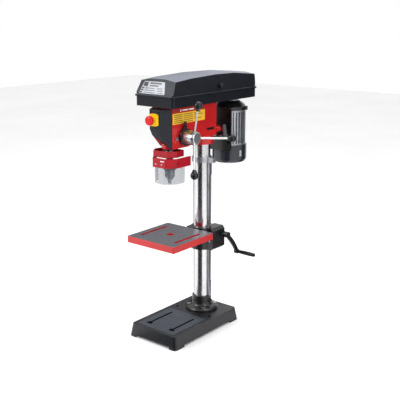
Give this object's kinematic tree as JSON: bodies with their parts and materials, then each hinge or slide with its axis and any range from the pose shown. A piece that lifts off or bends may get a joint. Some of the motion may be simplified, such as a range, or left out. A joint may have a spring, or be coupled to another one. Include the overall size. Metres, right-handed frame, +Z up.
{
  "type": "bench drill press",
  "caption": "Column drill press with a geared table lift, lever-fed quill, keyed chuck with a clear guard, and a belt drive under a hinged cover.",
  "frame": {"origin": "column axis where it meets the plane of the base's underside", "axes": "+Z up along the column, -Y to the operator's side where the spindle is, +X to the side with the feed levers"},
  "size_m": [0.324, 0.5997, 1.086],
  "materials": {
    "base_paint": "semi-gloss dark grey enamel on cast iron",
    "black_paint": "semi-gloss black enamel on cast iron",
    "red_paint": "semi-gloss red enamel",
    "ground_steel": "ground",
    "bright_steel": "turned",
    "dark_steel": "black oxide",
    "chrome": "polished",
    "cast_alloy": "clear satin",
    "black_plastic": "fine grain",
    "graphite_plastic": "fine grain, dark blue-grey",
    "yellow_plastic": "moulded",
    "red_plastic": "moulded",
    "green_plastic": "moulded",
    "clear_plastic": "clear moulded plastic",
    "belt_rubber": "cloth-backed",
    "copper_iron": "laminated, lacquered windings"
  },
  "bodies": {
    "frame": {"base": "base_paint", "column_holder": "black_paint", "holder_bolts": "dark_steel", "holder_set_screw": "dark_steel", "column": "ground_steel", "rack_collar": "cast_alloy", "head": "red_paint", "head_set_screws": "dark_steel", "quill_stop_screw": "bright_steel", "front_panel": "graphite_plastic", "switch_body": "black_plastic", "spring_cap": "black_paint", "return_spring": "bright_steel", "belt_tray": "graphite_plastic", "pulley_bearings": "bright_steel", "front_belt": "belt_rubber", "rear_belt": "belt_rubber"},
    "rack_ring": {"rack": "ground_steel"},
    "bracket": {"table_bracket": "black_paint", "tilt_bolt": "dark_steel"},
    "lift_gear": {"lift_pinion": "bright_steel"},
    "crank": {"worm_shaft": "bright_steel", "crank_arm": "black_paint"},
    "crank_handle": {"crank_grip": "black_plastic"},
    "table_lock": {"table_lock_lever": "black_paint"},
    "work_table": {"table": "red_paint"},
    "start_key": {"start_button": "green_plastic"},
    "stop_key": {"stop_button": "red_plastic"},
    "switch_cover": {"switch_flap": "yellow_plastic"},
    "mushroom": {"stop_mushroom": "red_plastic"},
    "quill_body": {"quill": "bright_steel", "quill_bearings": "bright_steel", "guard_clamp": "red_paint"},
    "spindle_body": {"spindle": "bright_steel", "chuck_body": "bright_steel"},
    "sleeve": {"chuck_sleeve": "dark_steel"},
    "jaw_1": {"chuck_jaw_1": "bright_steel"},
    "jaw_2": {"chuck_jaw_2": "bright_steel"},
    "jaw_3": {"chuck_jaw_3": "bright_steel"},
    "guard": {"guard_frame": "red_paint", "guard_shield": "clear_plastic"},
    "feed": {"feed_shaft": "bright_steel", "feed_hub": "cast_alloy", "feed_levers": "chrome", "feed_knobs": "black_plastic"},
    "depth_stop": {"depth_ring": "black_paint", "depth_lock": "black_plastic"},
    "cover_lid": {"lid": "graphite_plastic"},
    "spindle_cone": {"spindle_pulley": "cast_alloy"},
    "idler_swing_arm": {"idler_arm": "black_paint"},
    "idler_cone": {"idler_pulley": "cast_alloy"},
    "motor_slide_body": {"motor_plate": "black_paint", "motor_shell": "cast_alloy", "motor_bell": "black_paint", "motor_fan_cover": "black_paint", "motor_stator": "copper_iron"},
    "motor_shaft": {"motor_rotor": "bright_steel", "motor_fan": "black_plastic", "motor_pulley": "cast_alloy"},
    "tension_cam": {"tension_lever": "cast_alloy"}
  },
  "joints": [
    {"name": "rack_swing", "type": "hinge", "parent": "frame", "child": "rack_ring", "pos_m": [0, 0, 0.4], "axis": [0, 0, 1], "range_deg": [-180, 180]},
    {"name": "table_lift", "type": "slide", "parent": "rack_ring", "child": "bracket", "axis": [0, 0, 1], "range_m": [-0.16, 0.16]},
    {"name": "lift_gear_spin", "type": "hinge", "parent": "bracket", "child": "lift_gear", "pos_m": [0.057, 0, 0.375], "axis": [0, 1, 0], "range_deg": [-950, 950]},
    {"name": "crank_spin", "type": "hinge", "parent": "bracket", "child": "crank", "pos_m": [0, 0.045, 0.398], "axis": [1, 0, 0], "range_deg": [-8000, 8000]},
    {"name": "grip_spin", "type": "hinge", "parent": "crank", "child": "crank_handle", "pos_m": [0, 0.118, 0.306], "axis": [1, 0, 0], "continuous": true},
    {"name": "table_lock_turn", "type": "hinge", "parent": "bracket", "child": "table_lock", "pos_m": [-0.064, 0, 0.398], "axis": [0, 1, 0], "range_deg": [-40, 60]},
    {"name": "table_tilt", "type": "hinge", "parent": "bracket", "child": "work_table", "pos_m": [0, -0.07, 0.385], "axis": [0, 1, 0], "range_deg": [-45, 45]},
    {"name": "start_press", "type": "slide", "parent": "frame", "child": "start_key", "axis": [0, 1, 0], "range_m": [0, 0.002], "stiffness_N_per_m": 400, "springref_m": -0.002},
    {"name": "stop_press", "type": "slide", "parent": "frame", "child": "stop_key", "axis": [0, 1, 0], "range_m": [0, 0.002], "stiffness_N_per_m": 400, "springref_m": -0.002},
    {"name": "switch_cover_hinge", "type": "hinge", "parent": "frame", "child": "switch_cover", "pos_m": [0.002, -0.2945, 0.943], "axis": [-1, 0, 0], "range_deg": [0, 90]},
    {"name": "mushroom_press", "type": "slide", "parent": "switch_cover", "child": "mushroom", "axis": [0, 1, 0], "range_m": [0, 0.0025], "stiffness_N_per_m": 500, "springref_m": -0.002},
    {"name": "quill_slide", "type": "slide", "parent": "frame", "child": "quill_body", "axis": [0, 0, 1], "range_m": [-0.06, 0], "stiffness_N_per_m": 320, "springref_m": 0.3},
    {"name": "feed_turn", "type": "hinge", "parent": "frame", "child": "feed", "pos_m": [0, -0.1775, 0.846], "axis": [1, 0, 0], "range_deg": [-10, 340]},
    {"name": "depth_stop_turn", "type": "hinge", "parent": "feed", "child": "depth_stop", "pos_m": [0, -0.1775, 0.846], "axis": [1, 0, 0], "range_deg": [-270, 0]},
    {"name": "spindle_spin", "type": "hinge", "parent": "quill_body", "child": "spindle_body", "pos_m": [0, -0.205, 0.8], "axis": [0, 0, 1], "continuous": true},
    {"name": "spindle_cone_spin", "type": "hinge", "parent": "frame", "child": "spindle_cone", "pos_m": [0, -0.205, 1], "axis": [0, 0, 1], "continuous": true},
    {"name": "idler_cone_spin", "type": "hinge", "parent": "idler_swing_arm", "child": "idler_cone", "pos_m": [0, -0.018, 1], "axis": [0, 0, 1], "continuous": true},
    {"name": "motor_spin", "type": "hinge", "parent": "motor_slide_body", "child": "motor_shaft", "pos_m": [0, 0.193, 0.8], "axis": [0, 0, 1], "continuous": true},
    {"name": "idler_swing", "type": "hinge", "parent": "frame", "child": "idler_swing_arm", "pos_m": [-0.028, -0.1, 0.976], "axis": [0, 0, 1], "range_deg": [-1, 1], "deforming": ["front_belt"]},
    {"name": "motor_tension", "type": "slide", "parent": "frame", "child": "motor_slide_body", "axis": [0, -1, 0], "range_m": [0, 0.011], "deforming": ["rear_belt"]},
    {"name": "tension_turn", "type": "hinge", "parent": "motor_slide_body", "child": "tension_cam", "pos_m": [0, 0.08, 0.816], "axis": [1, 0, 0], "range_deg": [0, 60]},
    {"name": "sleeve_turn", "type": "hinge", "parent": "spindle_body", "child": "sleeve", "pos_m": [0, -0.205, 0.725], "axis": [0, 0, 1], "range_deg": [0, 620]},
    {"name": "jaw_travel_1", "type": "slide", "parent": "spindle_body", "child": "jaw_1", "axis": [0, 0.1736, 0.9848], "range_m": [0, 0.008]},
    {"name": "jaw_travel_2", "type": "slide", "parent": "spindle_body", "child": "jaw_2", "axis": [-0.1504, -0.0868, 0.9848], "range_m": [0, 0.008]},
    {"name": "jaw_travel_3", "type": "slide", "parent": "spindle_body", "child": "jaw_3", "axis": [0.1504, -0.0868, 0.9848], "range_m": [0, 0.008]},
    {"name": "guard_swing", "type": "hinge", "parent": "quill_body", "child": "guard", "pos_m": [-0.069, -0.214, 0.75], "axis": [0, 0, -1], "range_deg": [0, 105]},
    {"name": "lid_open", "type": "hinge", "parent": "frame", "child": "cover_lid", "pos_m": [-0.107, 0, 1.012], "axis": [0, -1, 0], "range_deg": [0, 95]}
  ],
  "couplings": [
    {"joint": "lift_gear_spin", "follows": "table_lift", "rad_per_m": -83.333},
    {"joint": "crank_spin", "follows": "table_lift", "rad_per_m": 666.67},
    {"joint": "feed_turn", "follows": "quill_slide", "rad_per_m": -95.238},
    {"joint": "spindle_cone_spin", "follows": "spindle_spin", "ratio": 1},
    {"joint": "idler_cone_spin", "follows": "spindle_spin", "ratio": 2.25},
    {"joint": "motor_spin", "follows": "spindle_spin", "ratio": 3.2143},
    {"joint": "tension_turn", "follows": "motor_tension", "rad_per_m": 91.061},
    {"joint": "jaw_travel_2", "follows": "jaw_travel_1", "ratio": 1},
    {"joint": "jaw_travel_3", "follows": "jaw_travel_1", "ratio": 1},
    {"joint": "sleeve_turn", "follows": "jaw_travel_1", "rad_per_m": 1309}
  ]
}
